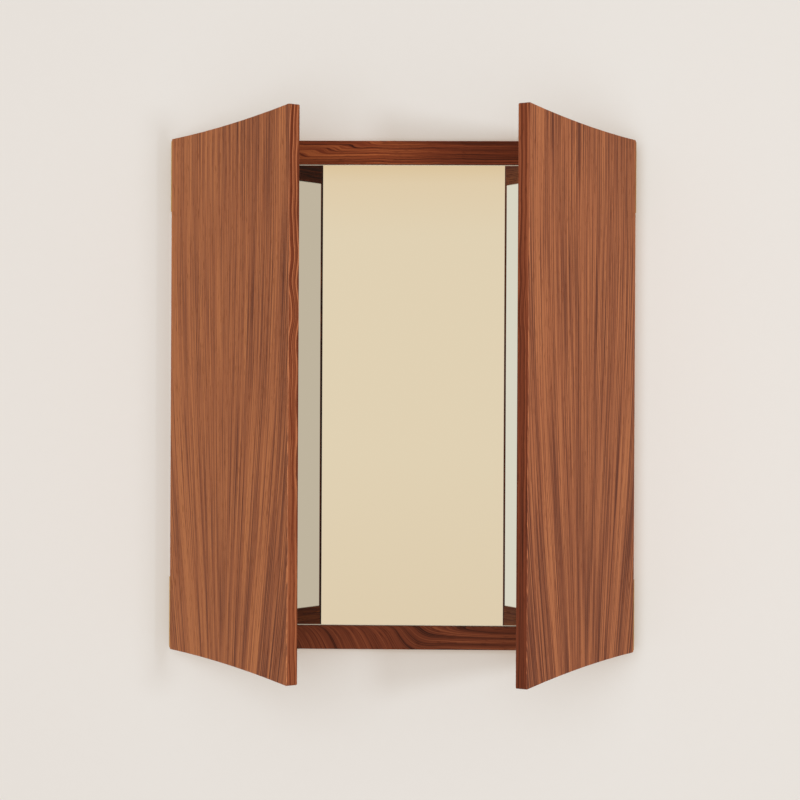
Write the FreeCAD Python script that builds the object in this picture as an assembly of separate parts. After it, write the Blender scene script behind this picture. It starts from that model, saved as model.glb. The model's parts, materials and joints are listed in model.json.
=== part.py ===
import FreeCAD, Part
import math
import os

# Wall mirror with two hinged mirror doors, all sizes in millimetres.
# The origin is the middle of the back, on the wall. X runs to the right and Z up.
# The wall is on the +Y side, and the mirror faces the viewer along -Y.

V = FreeCAD.Vector

# Frame
frame_width = 562.0
frame_height = 650.0
frame_depth = 20.0
rail_height = 30.0
stile_width = 30.0
frame_easing = 0.8

# Back board, let into a rebate behind the rails and stiles
board_thickness = 12.0
board_lap = 10.0
board_clearance = 0.5
board_screws_per_rail = 3
board_screws_per_stile = 2
board_screw_length = 18.0

# Mirror glass and the tape that holds it
glass_thickness = 4.0
glass_clearance = 0.5
glass_chamfer = 1.2
tape_thickness = 1.0
tape_width = 25.0
tape_end_margin = 25.0
centre_tape_count = 4
door_tape_count = 2

# Corner dowels
dowel_radius = 3.0
dowel_in_rail = 18.0
dowel_in_stile = 12.0
dowel_spacing = 10.0
dowel_end_room = 0.5
dowel_clearance = 0.05

# Doors
door_thickness = 15.0
door_rise = 13.2
door_easing = 1.0
door_corner_radius = 1.8
door_inner_arris = 0.5
door_glass_recess = 0.5
veneer_thickness = 1.0
lipping_thickness = 3.5
hinge_stile_width = 20.0
cut_overrun = 5.0
closed_gap = 1.0
meeting_gap = 2.0
left_open_angle = 53.4
right_open_angle = 58.7

# Brass butt hinges
hinge_length = 90.0
hinge_end_inset = 2.5
knuckle_count = 5
knuckle_radius = 3.0
knuckle_gap = 0.3
leaf_thickness = 2.0
leaf_edge_margin = 0.5
pin_radius = 1.5
pin_clearance = 0.05
pin_chamfer = 0.4
hinge_screw_count = 4
hinge_screw_end = 10.0
hinge_screw_length = 16.0

# Countersunk slotted screws
screw_head_radius = 3.0
screw_shank_radius = 1.5
screw_tip_length = 2.5
screw_tip_radius = 0.4
screw_slot_width = 0.8
screw_slot_depth = 0.7
screw_clearance = 0.05

# Hidden magnet catches
catch_radius = 4.0
catch_setback = 25.0
catch_skin = 1.5
catch_clearance = 0.05
magnet_thickness = 5.0

# Keyhole hangers on the back of the stiles
hanger_height = 45.0
hanger_width = 16.0
hanger_thickness = 2.0
hanger_drop = 125.0
hanger_screw_end = 5.5
hanger_screw_length = 14.0
hanger_fit = 0.1
keyhole_head_radius = 5.0
keyhole_slot_width = 5.0
keyhole_travel = 10.0
keyhole_pocket_depth = 10.0
keyhole_pocket_margin = 1.5

# Places worked out from the sizes above
half_width = frame_width / 2
half_height = frame_height / 2
opening_half_width = half_width - stile_width
opening_half_height = half_height - rail_height
rebate_half_width = opening_half_width + board_lap
rebate_half_height = opening_half_height + board_lap
board_half_width = rebate_half_width - board_clearance
board_half_height = rebate_half_height - board_clearance
glass_half_height = opening_half_height - glass_clearance
frame_front_y = -frame_depth
board_front_y = -board_thickness
centre_glass_back_y = board_front_y - tape_thickness

door_inner_y = frame_front_y - closed_gap
door_width = half_width - meeting_gap / 2
door_end_radius = (door_width ** 2 + door_rise ** 2) / (2 * door_rise)
door_glass_layer = door_glass_recess + glass_thickness + tape_thickness
door_board_layer = door_thickness - veneer_thickness
door_reach = half_height + door_rise
open_angles = {-1: left_open_angle, 1: right_open_angle}

pin_x = half_width + knuckle_radius + knuckle_gap
pin_y = frame_front_y - closed_gap / 2
leaf_width = closed_gap / 2 + door_thickness - leaf_edge_margin
hinge_screw_reach = (knuckle_radius + leaf_width) / 2
hinge_bottoms = {
    "upper": half_height - hinge_end_inset - hinge_length,
    "lower": hinge_end_inset - half_height,
}

catch_u = door_width - catch_setback
catch_x = half_width - catch_u
catch_z = (rebate_half_height + half_height) / 2
dowel_z = catch_z
dowel_y = -frame_depth / 2
strike_thickness = door_glass_layer - catch_skin

hanger_x = (rebate_half_width + half_width) / 2
hanger_z = half_height - hanger_drop

side_names = {-1: "left", 1: "right"}
nodes = {}


# Basic solids

def block(x_range, y_range, z_range):
    low = V(min(x_range), min(y_range), min(z_range))
    high = V(max(x_range), max(y_range), max(z_range))
    size = high - low
    return Part.makeBox(size.x, size.y, size.z, low)


def rod(start, direction, radius, length):
    return Part.makeCylinder(radius, length, start, direction)


def group(solids):
    return Part.makeCompound(solids)


def cut_all(solid, tools):
    for tool in tools:
        solid = solid.cut(tool)
    return solid


def edges_where(solid, test):
    return [edge for edge in solid.Edges if test(edge.BoundBox)]


def spread(low, high, count):
    step = (high - low) / count
    return [low + (index + 0.5) * step for index in range(count)]


# Screws: the head point is the middle of the flat head, and the direction points into the wood

def screw(head_point, direction, length):
    head_height = screw_head_radius - screw_shank_radius
    shank_length = length - head_height - screw_tip_length
    shank_start = head_point + direction * head_height
    tip_start = shank_start + direction * shank_length
    head = Part.makeCone(screw_head_radius, screw_shank_radius, head_height, head_point, direction)
    shank = rod(shank_start, direction, screw_shank_radius, shank_length)
    tip = Part.makeCone(screw_shank_radius, screw_tip_radius, screw_tip_length, tip_start, direction)
    slot = Part.makeBox(
        2 * screw_head_radius,
        screw_slot_width,
        2 * screw_slot_depth,
        V(-screw_head_radius, -screw_slot_width / 2, -screw_slot_depth),
    )
    slot.Placement = FreeCAD.Placement(head_point, FreeCAD.Rotation(V(0, 0, 1), direction))
    return head.fuse([shank, tip]).removeSplitter().cut(slot)


def screw_hole(head_point, direction, length):
    head_height = screw_head_radius - screw_shank_radius
    countersink = Part.makeCone(
        screw_head_radius + screw_clearance,
        screw_shank_radius + screw_clearance,
        head_height,
        head_point,
        direction,
    )
    bore = rod(head_point, direction, screw_shank_radius + screw_clearance, length + screw_clearance)
    return countersink.fuse(bore)


def screws_and_holes(head_points, direction, length):
    screws = [screw(point, direction, length) for point in head_points]
    holes = [screw_hole(point, direction, length) for point in head_points]
    return screws, holes


# Hinges: all leaves are built with the door shut, flat on the side of the frame and of the door

def hinge_screw_points(side, bottom, toward):
    first = bottom + hinge_screw_end
    step = (hinge_length - 2 * hinge_screw_end) / (hinge_screw_count - 1)
    x = side * (half_width + leaf_thickness)
    y = pin_y + toward * hinge_screw_reach
    return [V(x, y, first + index * step) for index in range(hinge_screw_count)]


def hinge_leaf(side, bottom, toward, first_knuckle):
    x_range = (side * half_width, side * (half_width + leaf_thickness))
    flat_start = pin_y + toward * (knuckle_radius + knuckle_gap)
    flat_end = pin_y + toward * leaf_width
    leaf = block(x_range, (flat_start, flat_end), (bottom, bottom + hinge_length))
    pitch = hinge_length / knuckle_count
    for index in range(first_knuckle, knuckle_count, 2):
        low = bottom + index * pitch + knuckle_gap / 2
        high = low + pitch - knuckle_gap
        web = block(x_range, (pin_y, flat_start), (low, high))
        knuckle = rod(V(side * pin_x, pin_y, low), V(0, 0, 1), knuckle_radius, high - low)
        leaf = leaf.fuse([web, knuckle])
    bore = rod(V(side * pin_x, pin_y, bottom), V(0, 0, 1), pin_radius + pin_clearance, hinge_length)
    return leaf.cut(bore).removeSplitter()


def hinge_pin(side, bottom):
    pin = rod(V(side * pin_x, pin_y, bottom), V(0, 0, 1), pin_radius, hinge_length)
    rims = edges_where(pin, lambda box: box.ZLength < pin_chamfer and box.XLength > pin_radius)
    return pin.makeChamfer(pin_chamfer, rims)


# Frame

def corner_dowel_centres():
    offsets = (-dowel_spacing / 2, dowel_spacing / 2)
    heights = [end * (dowel_z + offset) for end in (-1, 1) for offset in offsets]
    return [(side, height) for side in (-1, 1) for height in heights]


def dowel(side, height, extra_length, extra_radius):
    start = V(side * (opening_half_width - dowel_in_rail - extra_length), dowel_y, height)
    length = dowel_in_rail + dowel_in_stile + 2 * extra_length
    return rod(start, V(side, 0, 0), dowel_radius + extra_radius, length)


def board_screw_points():
    rail_z = (opening_half_height + rebate_half_height) / 2
    stile_x = (opening_half_width + rebate_half_width) / 2
    along_rail = spread(-opening_half_width, opening_half_width, board_screws_per_rail)
    along_stile = spread(-opening_half_height, opening_half_height, board_screws_per_stile)
    points = [V(x, 0, end * rail_z) for end in (-1, 1) for x in along_rail]
    points += [V(side * stile_x, 0, z) for side in (-1, 1) for z in along_stile]
    return points


def catch_magnet_bore(side, end):
    depth = frame_depth - catch_skin
    return rod(V(side * catch_x, 0, end * catch_z), V(0, -1, 0), catch_radius + catch_clearance, depth)


def catch_magnet(side, end):
    start = V(side * catch_x, frame_front_y + catch_skin, end * catch_z)
    return rod(start, V(0, 1, 0), catch_radius, magnet_thickness)


def frame_rail(end, cutters):
    x_range = (-opening_half_width, opening_half_width)
    rail = block(x_range, (frame_front_y, 0), (end * opening_half_height, end * half_height))
    rebate = block(x_range, (board_front_y, 0), (end * opening_half_height, end * rebate_half_height))
    rail = rail.cut(rebate)
    front = edges_where(
        rail,
        lambda box: box.YMax < frame_front_y + frame_easing and box.XLength > rail_height,
    )
    rail = rail.makeFillet(frame_easing, front)
    return cut_all(rail, cutters)


def frame_stile(side, cutters):
    z_range = (-half_height, half_height)
    stile = block((side * opening_half_width, side * half_width), (frame_front_y, 0), z_range)
    outer = edges_where(
        stile,
        lambda box: box.YMax < frame_front_y + frame_easing
        and side * box.Center.x > opening_half_width + frame_easing
        and box.ZLength > stile_width,
    )
    stile = stile.makeFillet(frame_easing, outer)
    rebate = block(
        (side * opening_half_width, side * rebate_half_width),
        (board_front_y, 0),
        (-rebate_half_height, rebate_half_height),
    )
    return cut_all(stile.cut(rebate), cutters)


def mirror_glass(x_range, shown_y, back_y):
    glass = block(x_range, (shown_y, back_y), (-glass_half_height, glass_half_height))
    shown = edges_where(glass, lambda box: abs(box.Center.y - shown_y) < glass_chamfer)
    return glass.makeChamfer(glass_chamfer, shown)


def tape_strips(x_range, front_y, count):
    centres = spread(min(x_range), max(x_range), count)
    reach = glass_half_height - tape_end_margin
    y_range = (front_y, front_y + tape_thickness)
    half = tape_width / 2
    return [block((x - half, x + half), y_range, (-reach, reach)) for x in centres]


# Keyhole hangers

def keyhole(side, radius, half_slot, start_y, depth):
    entry_z = hanger_z - keyhole_travel / 2
    seat_z = hanger_z + keyhole_travel / 2
    x = side * hanger_x
    entry = rod(V(x, start_y, entry_z), V(0, -1, 0), radius, depth)
    slot = block((x - half_slot, x + half_slot), (start_y - depth, start_y), (entry_z, seat_z))
    seat = rod(V(x, start_y, seat_z), V(0, -1, 0), half_slot, depth)
    return entry.fuse([slot, seat]).removeSplitter()


def hanger_screw_points(side):
    reach = hanger_height / 2 - hanger_screw_end
    return [V(side * hanger_x, 0, hanger_z + end * reach) for end in (-1, 1)]


def hanger_outline(side, margin):
    half = hanger_width / 2 + margin
    reach = hanger_height / 2 + margin
    x = side * hanger_x
    plate = block((x - half, x + half), (-hanger_thickness, 0), (hanger_z - reach, hanger_z + reach))
    corners = edges_where(plate, lambda box: box.XLength + box.ZLength < margin + hanger_thickness)
    return plate.makeFillet(hanger_thickness, corners)


def hanger_plate(side, holes):
    plate = hanger_outline(side, 0)
    opening = keyhole(side, keyhole_head_radius, keyhole_slot_width / 2, 0, hanger_thickness)
    return cut_all(plate, [opening] + holes)


def hanger_pocket(side):
    radius = keyhole_head_radius + keyhole_pocket_margin
    head_room = keyhole(side, radius, radius, 0, keyhole_pocket_depth)
    return hanger_outline(side, hanger_fit).fuse(head_room)


# Doors: u runs from the hinge edge to the free edge, v from the inner face to the outer face

def door_block(side, u_range, v_range, z_range):
    x_range = [side * (half_width - u) for u in u_range]
    y_range = [door_inner_y - v for v in v_range]
    return block(x_range, y_range, z_range)


def door_prism(side, end_inset, overrun):
    # The door outline, drawn in by the inset at both curved ends,
    # and run past its straight edges and both faces by the overrun
    free_edge = door_width + overrun

    def corner(u, end):
        rim = half_height + door_end_radius - math.sqrt((door_end_radius + end_inset) ** 2 - u ** 2)
        return V(side * (half_width - u), door_inner_y + overrun, end * rim)

    def curved_end(start_u, finish_u, end):
        middle = corner((start_u + finish_u) / 2, end)
        return Part.Arc(corner(start_u, end), middle, corner(finish_u, end)).toShape()

    outline = Part.Wire([
        curved_end(-overrun, free_edge, 1),
        Part.LineSegment(corner(free_edge, 1), corner(free_edge, -1)).toShape(),
        curved_end(free_edge, -overrun, -1),
        Part.LineSegment(corner(-overrun, -1), corner(-overrun, 1)).toShape(),
    ])
    return Part.Face(outline).extrude(V(0, -door_thickness - 2 * overrun, 0))


def eased_door(side):
    door = door_prism(side, 0, 0)
    corners = edges_where(door, lambda box: box.YLength > door_easing)
    door = door.makeFillet(door_corner_radius, corners)
    outer_y = door_inner_y - door_thickness
    inner_rim = edges_where(door, lambda box: abs(box.Center.y - door_inner_y) < door_easing)
    door = door.makeChamfer(door_inner_arris, inner_rim)
    outer_rim = edges_where(door, lambda box: abs(box.Center.y - outer_y) < door_easing)
    return door.makeFillet(door_easing, outer_rim)


def set_open(shape, side):
    posed = shape.copy()
    posed.rotate(V(side * pin_x, pin_y, 0), V(0, 0, 1), side * open_angles[side])
    return posed


def strike_disc(side, end, extra_radius):
    start = V(side * catch_x, door_inner_y - catch_skin, end * catch_z)
    return rod(start, V(0, -1, 0), catch_radius + extra_radius, strike_thickness)


def door_pieces(side, hinge_holes):
    envelope = eased_door(side)
    between_bands = door_prism(side, lipping_thickness, cut_overrun)
    inside = envelope.common(between_bands)
    every_u = (-cut_overrun, door_width + cut_overrun)
    every_z = (-door_reach - cut_overrun, door_reach + cut_overrun)
    panel_u = (hinge_stile_width, door_width - lipping_thickness)
    band_u = (-cut_overrun, door_width - lipping_thickness)
    stile_u = (-cut_overrun, hinge_stile_width)
    lipping_u = (door_width - lipping_thickness, door_width + cut_overrun)
    board_v = (-cut_overrun, door_board_layer)
    glass_v = (-cut_overrun, door_glass_layer)
    pieces = {}

    veneer_v = (door_board_layer, door_thickness + cut_overrun)
    pieces["face_veneer"] = envelope.common(door_block(side, every_u, veneer_v, every_z))
    pieces["free_lipping"] = envelope.common(door_block(side, lipping_u, board_v, every_z))
    stile = inside.common(door_block(side, stile_u, board_v, every_z))
    pieces["hinge_stile"] = cut_all(stile, hinge_holes)
    core_v = (door_glass_layer, door_board_layer)
    pieces["core"] = inside.common(door_block(side, panel_u, core_v, every_z))

    for end, name in ((1, "top"), (-1, "bottom")):
        end_z = (0, end * (door_reach + cut_overrun))
        rim = envelope.common(door_block(side, band_u, board_v, end_z))
        pieces[name + "_band"] = rim.cut(between_bands)
        rail_z = (end * opening_half_height, end * (door_reach + cut_overrun))
        rail = inside.common(door_block(side, panel_u, glass_v, rail_z))
        pieces["inner_" + name + "_rail"] = rail.cut(strike_disc(side, end, catch_clearance))
    pieces["catch_strikes"] = group([strike_disc(side, end, 0) for end in (-1, 1)])

    glass_u = (panel_u[0] + glass_clearance, panel_u[1] - glass_clearance)
    glass_x = [side * (half_width - u) for u in glass_u]
    glass_shown_y = door_inner_y - door_glass_recess
    glass_back_y = glass_shown_y - glass_thickness
    pieces["mirror"] = mirror_glass(glass_x, glass_shown_y, glass_back_y)
    pieces["mirror_tape"] = group(tape_strips(glass_x, glass_back_y - tape_thickness, door_tape_count))
    return pieces


# Hinges, their screws and the doors, side by side

stile_cutters = {-1: [], 1: []}
for side, side_name in side_names.items():
    into_wood = V(-side, 0, 0)
    frame_screws = []
    door_screws = []
    door_holes = []
    for place, bottom in hinge_bottoms.items():
        hinge_name = side_name + "_" + place + "_hinge_"
        screws, holes = screws_and_holes(hinge_screw_points(side, bottom, 1), into_wood, hinge_screw_length)
        nodes[hinge_name + "frame_leaf"] = cut_all(hinge_leaf(side, bottom, 1, 0), holes)
        frame_screws += screws
        stile_cutters[side] += holes
        screws, holes = screws_and_holes(hinge_screw_points(side, bottom, -1), into_wood, hinge_screw_length)
        nodes[hinge_name + "door_leaf"] = set_open(cut_all(hinge_leaf(side, bottom, -1, 1), holes), side)
        door_screws += screws
        door_holes += holes
        nodes[hinge_name + "pin"] = hinge_pin(side, bottom)
    nodes[side_name + "_frame_hinge_screws"] = group(frame_screws)
    nodes[side_name + "_door_hinge_screws"] = set_open(group(door_screws), side)
    for piece_name, piece in door_pieces(side, door_holes).items():
        nodes[side_name + "_door_" + piece_name] = set_open(piece, side)

# Hangers

hanger_screws = []
for side, side_name in side_names.items():
    screws, holes = screws_and_holes(hanger_screw_points(side), V(0, -1, 0), hanger_screw_length)
    nodes[side_name + "_hanger_plate"] = hanger_plate(side, holes)
    stile_cutters[side] += [hanger_pocket(side)] + holes
    hanger_screws += screws
nodes["hanger_screws"] = group(hanger_screws)

# Frame, board and centre mirror

dowel_centres = corner_dowel_centres()
dowel_holes = [dowel(side, height, dowel_end_room, dowel_clearance) for side, height in dowel_centres]
nodes["corner_dowels"] = group([dowel(side, height, 0, 0) for side, height in dowel_centres])

board_screws, board_holes = screws_and_holes(board_screw_points(), V(0, -1, 0), board_screw_length)
nodes["back_board_screws"] = group(board_screws)
board_x = (-board_half_width, board_half_width)
board_z = (-board_half_height, board_half_height)
nodes["back_board"] = cut_all(block(board_x, (board_front_y, 0), board_z), board_holes)

catches = [(side, end) for side in (-1, 1) for end in (-1, 1)]
nodes["catch_magnets"] = group([catch_magnet(side, end) for side, end in catches])
magnet_bores = [catch_magnet_bore(side, end) for side, end in catches]

rail_cutters = dowel_holes + board_holes + magnet_bores
nodes["top_rail"] = frame_rail(1, rail_cutters)
nodes["bottom_rail"] = frame_rail(-1, rail_cutters)
for side, side_name in side_names.items():
    nodes[side_name + "_stile"] = frame_stile(side, dowel_holes + board_holes + stile_cutters[side])

centre_glass_x = (glass_clearance - opening_half_width, opening_half_width - glass_clearance)
centre_glass_front_y = centre_glass_back_y - glass_thickness
nodes["centre_mirror"] = mirror_glass(centre_glass_x, centre_glass_front_y, centre_glass_back_y)
nodes["centre_mirror_tape"] = group(tape_strips(centre_glass_x, centre_glass_back_y, centre_tape_count))

# One file for each piece or group of like pieces

os.makedirs("parts", exist_ok=True)
for name, shape in sorted(nodes.items()):
    shape.exportStep("parts/" + name + ".step")
    print(name, len(shape.Solids), "solids", round(shape.Volume, 1), "cubic mm", shape.isValid())
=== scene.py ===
"""Finishes, mirror plates, stage, lights and camera for a walnut wall mirror with two mirror doors."""
import json
import math

import bmesh
import bpy
from bpy.props import FloatProperty, FloatVectorProperty, PointerProperty
from mathutils import Matrix, Vector


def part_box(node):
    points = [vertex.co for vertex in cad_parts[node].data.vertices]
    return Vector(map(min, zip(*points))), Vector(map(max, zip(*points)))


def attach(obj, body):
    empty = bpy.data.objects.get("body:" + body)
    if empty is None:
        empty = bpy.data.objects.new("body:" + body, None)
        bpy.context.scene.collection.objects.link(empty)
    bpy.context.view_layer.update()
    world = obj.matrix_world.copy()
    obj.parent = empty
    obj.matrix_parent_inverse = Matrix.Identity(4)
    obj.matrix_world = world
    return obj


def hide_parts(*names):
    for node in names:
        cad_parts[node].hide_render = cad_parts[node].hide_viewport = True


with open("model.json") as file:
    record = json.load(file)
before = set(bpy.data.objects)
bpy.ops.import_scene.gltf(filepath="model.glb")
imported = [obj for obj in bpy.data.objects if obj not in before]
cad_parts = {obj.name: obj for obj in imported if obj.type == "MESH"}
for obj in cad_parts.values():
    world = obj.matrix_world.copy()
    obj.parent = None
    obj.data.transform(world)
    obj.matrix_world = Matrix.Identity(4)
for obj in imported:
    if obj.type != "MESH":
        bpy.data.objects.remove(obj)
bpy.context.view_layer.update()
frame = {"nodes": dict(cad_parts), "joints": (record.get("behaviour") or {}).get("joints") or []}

bl_info = {
    "name": "Wall Mirror with Doors",
    "version": (1, 0, 0),
    "blender": (4, 5, 0),
    "location": "3D View > Sidebar > Wall Mirror",
    "description": "Finishes, mirror plates, stage and camera for a wall mirror with two doors",
    "category": "Object",
}

NODES = frame["nodes"]
JOINTS = {joint["child"]: joint for joint in frame["joints"]}
DOORS = ("left_door", "right_door")
FRAME_BODY = "frame"
HALF_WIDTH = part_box("right_stile")[1].x
HALF_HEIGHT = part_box("right_stile")[1].z
OPENING_HALF_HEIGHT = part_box("top_rail")[0].z
MILLIMETRE = 0.001
WHITE = (1.0, 1.0, 1.0, 1.0)


def srgb(red, green, blue):
    """A colour as the eye reads it on a screen, from 0 to 255, turned into the renderer's scale."""
    def linear(level):
        share = level / 255
        if share <= 0.04045:
            return share / 12.92
        return ((share + 0.055) / 1.055) ** 2.4

    return (linear(red), linear(green), linear(blue), 1.0)


# Sizes and colours that a user would change

def colour_property(name, description, default):
    return FloatVectorProperty(
        name=name, description=description, default=default, subtype="COLOR", size=4, min=0.0, max=1.0,
    )


def share_property(name, description, default):
    return FloatProperty(
        name=name, description=description, default=default, subtype="FACTOR", min=0.0, max=1.0,
    )


def length_property(name, description, default):
    return FloatProperty(
        name=name, description=description, default=default, subtype="DISTANCE", unit="LENGTH",
    )


def angle_property(name, description, default):
    return FloatProperty(name=name, description=description, default=default, subtype="ANGLE")


def power_property(name, description, default):
    return FloatProperty(name=name, description=description, default=default, subtype="POWER", min=0.0)


class WalnutFinish(bpy.types.PropertyGroup):
    """Tones and sheen of the veneer and the solid wood."""
    veneer_dark: colour_property("Veneer dark", "Dark streaks of the door veneer", srgb(110, 58, 39))
    veneer_middle: colour_property("Veneer middle", "Ground tone of the door veneer", srgb(174, 101, 64))
    veneer_light: colour_property("Veneer light", "Light streaks of the door veneer", srgb(206, 128, 80))
    # Painted highlight: the light line along the arris of the left door's free edge
    veneer_cut: colour_property("Veneer cut", "Cut of the veneer at the free edge", srgb(214, 148, 106))
    solid_dark: colour_property("Solid dark", "Ring lines of the solid walnut", srgb(56, 22, 11))
    solid_middle: colour_property("Solid middle", "Ground tone of the solid walnut", srgb(122, 57, 31))
    solid_light: colour_property("Solid light", "Light rings of the solid walnut", srgb(190, 112, 67))
    roughness: share_property("Roughness", "How dull the oil finish is", 0.5)
    gloss: share_property("Gloss", "How strongly the oil finish mirrors light", 0.15)
    fan_centre: length_property("Fan centre", "From the hinge edge to the middle of the fan", 0.132)


class GlassFinish(bpy.types.PropertyGroup):
    """Silvering, ground edge and backing of the mirror plates."""
    silver: colour_property("Silver", "Tint of the silvered face", (0.93, 0.93, 0.90, 1.0))
    ground_edge: colour_property("Ground edge", "Frosted bevel round each plate", srgb(235, 226, 200))
    # Painted light: the ground edge gives off light as if the glass carried it there
    edge_glow: share_property("Edge glow", "Light that the glass carries to its ground edge", 0.3)
    backing: colour_property("Backing", "Paint behind the silver", srgb(96, 92, 84))
    bevel: length_property("Bevel", "Width of the ground bevel", 0.0008)


class MetalFinish(bpy.types.PropertyGroup):
    """Colours of the hinges and the hidden metal fittings."""
    brass: colour_property("Brass", "Hinge leaves, pins and hinge screws", srgb(214, 172, 104))
    zinc: colour_property("Zinc", "Hanger plates, board screws and catch strikes", srgb(196, 198, 202))
    nickel: colour_property("Nickel", "Catch magnets", srgb(206, 202, 194))


class BoardFinish(bpy.types.PropertyGroup):
    """Colours of the boards, dowels and tape that the walnut hides."""
    birch_light: colour_property("Birch light", "Ground tone of the plywood", srgb(226, 198, 156))
    birch_dark: colour_property("Birch dark", "Grain of the plywood", srgb(196, 158, 112))
    beech: colour_property("Beech", "Corner dowels", srgb(216, 172, 128))
    tape: colour_property("Tape", "Foam mounting tape", srgb(228, 228, 224))


class StageSetup(bpy.types.PropertyGroup):
    """Wall, floor, lamps and camera."""
    wall: colour_property("Wall", "Pale wall behind the mirror", srgb(236, 231, 225))
    floor: colour_property("Floor", "Pale floor below the mirror", srgb(226, 222, 215))
    room: colour_property("Room", "What the centre mirror shows", srgb(232, 216, 188))
    room_left: colour_property("Room left", "What the mirrors show to the left", srgb(231, 227, 214))
    room_right: colour_property("Room right", "What the mirrors show to the right", srgb(204, 192, 174))
    wall_gap: length_property("Wall gap", "Air between the back and the wall", 0.0005)
    floor_drop: length_property("Floor drop", "From the middle of the mirror down to the floor", 1.3)
    ambient: share_property("Ambient", "Light from all round", 0.24)
    ambient_front: share_property("Ambient front", "How much brighter the front is than the sides", 0.45)
    wall_shading: colour_property(
        "Wall shading", "How strongly the wall shows light and shadow", (0.75, 0.88, 1.0, 1.0),
    )
    floor_shading: colour_property(
        "Floor shading", "How strongly the floor shows light and shadow", (0.4, 0.4, 0.4, 1.0),
    )
    key_power: power_property("Key lamp", "Soft lamp in front, to the right", 21.8)
    front_power: power_property("Front lamp", "Large soft lamp behind the camera", 51.8)
    back_power: power_property("Back lamp", "Soft lamp that shows the back", 55.0)
    lens: FloatProperty(name="Lens", description="Focal length", default=89.26, subtype="DISTANCE_CAMERA")
    camera_place: FloatVectorProperty(
        name="Camera place", description="Where the camera stands", default=(0.0509, -2.5540, 0.0018),
        subtype="TRANSLATION", unit="LENGTH",
    )
    camera_yaw: angle_property("Yaw", "Turn to the left", 0.02107)
    camera_pitch: angle_property("Pitch", "Tilt up", -0.0031)
    camera_roll: angle_property("Roll", "Turn of the picture", 0.00477)


class WallMirrorSettings(bpy.types.PropertyGroup):
    """All settings of the wall mirror."""
    walnut: PointerProperty(type=WalnutFinish, name="Walnut", description="Wood finish")
    glass: PointerProperty(type=GlassFinish, name="Glass", description="Mirror plates")
    metal: PointerProperty(type=MetalFinish, name="Metal", description="Hinges and fittings")
    board: PointerProperty(type=BoardFinish, name="Boards", description="Boards, dowels and tape")
    stage: PointerProperty(type=StageSetup, name="Stage", description="Wall, floor, lamps and camera")


def settings():
    return bpy.context.scene.wall_mirror


# Node tools

FLOAT = "NodeSocketFloat"
VECTOR = "NodeSocketVector"


def put(tree, kind, inputs=None, **options):
    """Adds a node, sets its options, and fills its inputs with values or links."""
    node = tree.nodes.new(kind)
    for name, value in options.items():
        setattr(node, name, value)
    for name, value in (inputs or {}).items():
        if isinstance(value, bpy.types.NodeSocket):
            tree.links.new(value, node.inputs[name])
        else:
            node.inputs[name].default_value = value
    return node


def calc(tree, operation, *values, clamp=False):
    """One Math node, with values or links in order."""
    inputs = dict(enumerate(values))
    return put(tree, "ShaderNodeMath", inputs, operation=operation, use_clamp=clamp).outputs[0]


def weighted(tree, start, *terms):
    """Start plus each value's distance from a half, times its weight."""
    total = start
    for value, weight in terms:
        total = calc(tree, "MULTIPLY_ADD", calc(tree, "SUBTRACT", value, 0.5), weight, total)
    return total


def stretch(tree, vector, factors):
    """A vector multiplied axis by axis."""
    return put(tree, "ShaderNodeVectorMath", {0: vector, 1: factors}, operation="MULTIPLY").outputs[0]


def combine(tree, x, y, z):
    return put(tree, "ShaderNodeCombineXYZ", {"X": x, "Y": y, "Z": z}).outputs[0]


def split(tree, vector):
    return put(tree, "ShaderNodeSeparateXYZ", {"Vector": vector}).outputs


def object_place(tree):
    return put(tree, "ShaderNodeTexCoord").outputs["Object"]


def in_order(tree, place, axes):
    """A split place, joined again with its axes in the order that is named."""
    return combine(tree, *(place[axis] for axis in axes))


def noise(tree, vector, detail, roughness=0.5, scale=1.0):
    inputs = {"Vector": vector, "Scale": scale, "Detail": detail, "Roughness": roughness}
    return put(tree, "ShaderNodeTexNoise", inputs).outputs["Fac"]


def remap(tree, value, low, high, to_low=0.0, to_high=1.0, smooth=False):
    """A value moved from one range to another, and held inside it."""
    inputs = {"Value": value, "From Min": low, "From Max": high, "To Min": to_low, "To Max": to_high}
    kind = "SMOOTHSTEP" if smooth else "LINEAR"
    return put(tree, "ShaderNodeMapRange", inputs, interpolation_type=kind, clamp=True).outputs["Result"]


def ramp(tree, value, stops):
    """A colour ramp through stops of (place, colour)."""
    node = put(tree, "ShaderNodeValToRGB", {"Fac": value})
    elements = node.color_ramp.elements
    for place, _ in stops[1:-1]:
        elements.new(place)
    for element, (place, colour) in zip(elements, stops):
        element.position = place
        element.color = colour
    return node.outputs["Color"]


# Sockets of a Mix node go by number, because those for values and for colours have the same names

def mix_value(tree, share, first, second):
    return put(tree, "ShaderNodeMix", {0: share, 2: first, 3: second}, data_type="FLOAT").outputs[0]


def mix_colour(tree, share, first, second, blend="MIX"):
    inputs = {0: share, 6: first, 7: second}
    return put(tree, "ShaderNodeMix", inputs, data_type="RGBA", blend_type=blend).outputs[2]


def grey(tone):
    return (tone, tone, tone, 1.0)


def darker(colour, share):
    """A colour that keeps a share of its light."""
    return tuple(level * share for level in colour[:3]) + (1.0,)


def new_group(name, inputs, outputs):
    """An empty node group with float or vector sockets, and its two ends."""
    tree = bpy.data.node_groups.new(name, "ShaderNodeTree")
    for label, kind, default in inputs:
        socket = tree.interface.new_socket(label, in_out="INPUT", socket_type=kind)
        if default is not None:
            socket.default_value = default
    for label in outputs:
        tree.interface.new_socket(label, in_out="OUTPUT", socket_type=FLOAT)
    return tree, tree.nodes.new("NodeGroupInput").outputs, tree.nodes.new("NodeGroupOutput").inputs


def place_group(tree, build, inputs):
    """Places a shared node group, which is built when it is first needed and named after its builder."""
    name = build.__name__.replace("_", " ").title()
    group = bpy.data.node_groups.get(name) or build(name)
    return put(tree, "ShaderNodeGroup", inputs, node_tree=group).outputs


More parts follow.
